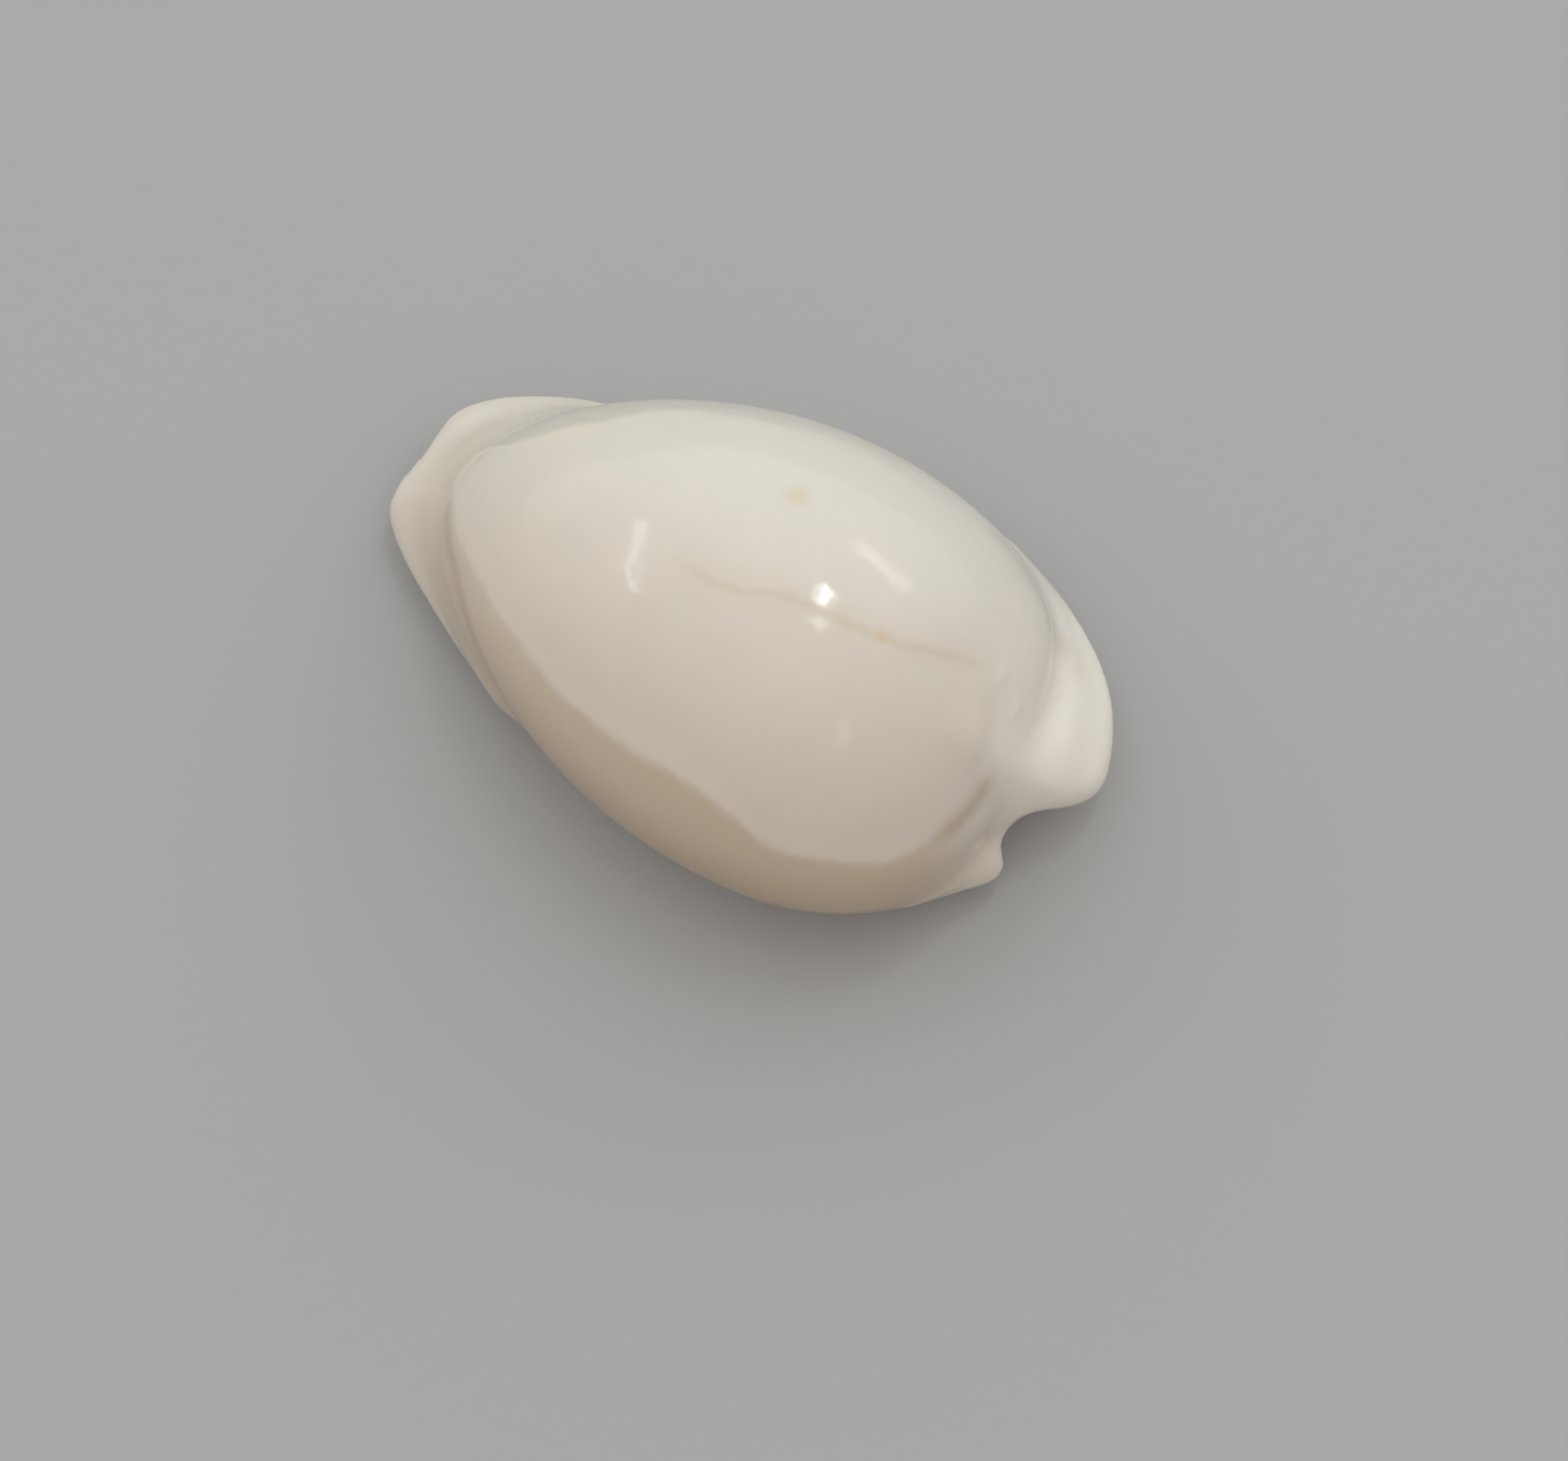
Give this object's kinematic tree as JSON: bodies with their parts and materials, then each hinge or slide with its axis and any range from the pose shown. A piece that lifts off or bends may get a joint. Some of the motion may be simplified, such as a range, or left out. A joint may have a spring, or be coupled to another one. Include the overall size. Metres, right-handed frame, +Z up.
{
  "type": "cowrie shell",
  "caption": "White cowrie shell: a hollow egg-shaped whorl on a thickened margin, with a long toothed aperture along its base and a canal at each end.",
  "frame": {"origin": "under the middle of the shell, on the plane that it rests on", "axes": "+X to the posterior (spire) end, +Y to the outer-lip side, +Z up through the back of the shell"},
  "size_m": [0.0432, 0.0264, 0.0202],
  "materials": {
    "enamel": "glossy ivory-white shell enamel"
  },
  "bodies": {
    "root": {"shell": "enamel"}
  },
  "joints": []
}
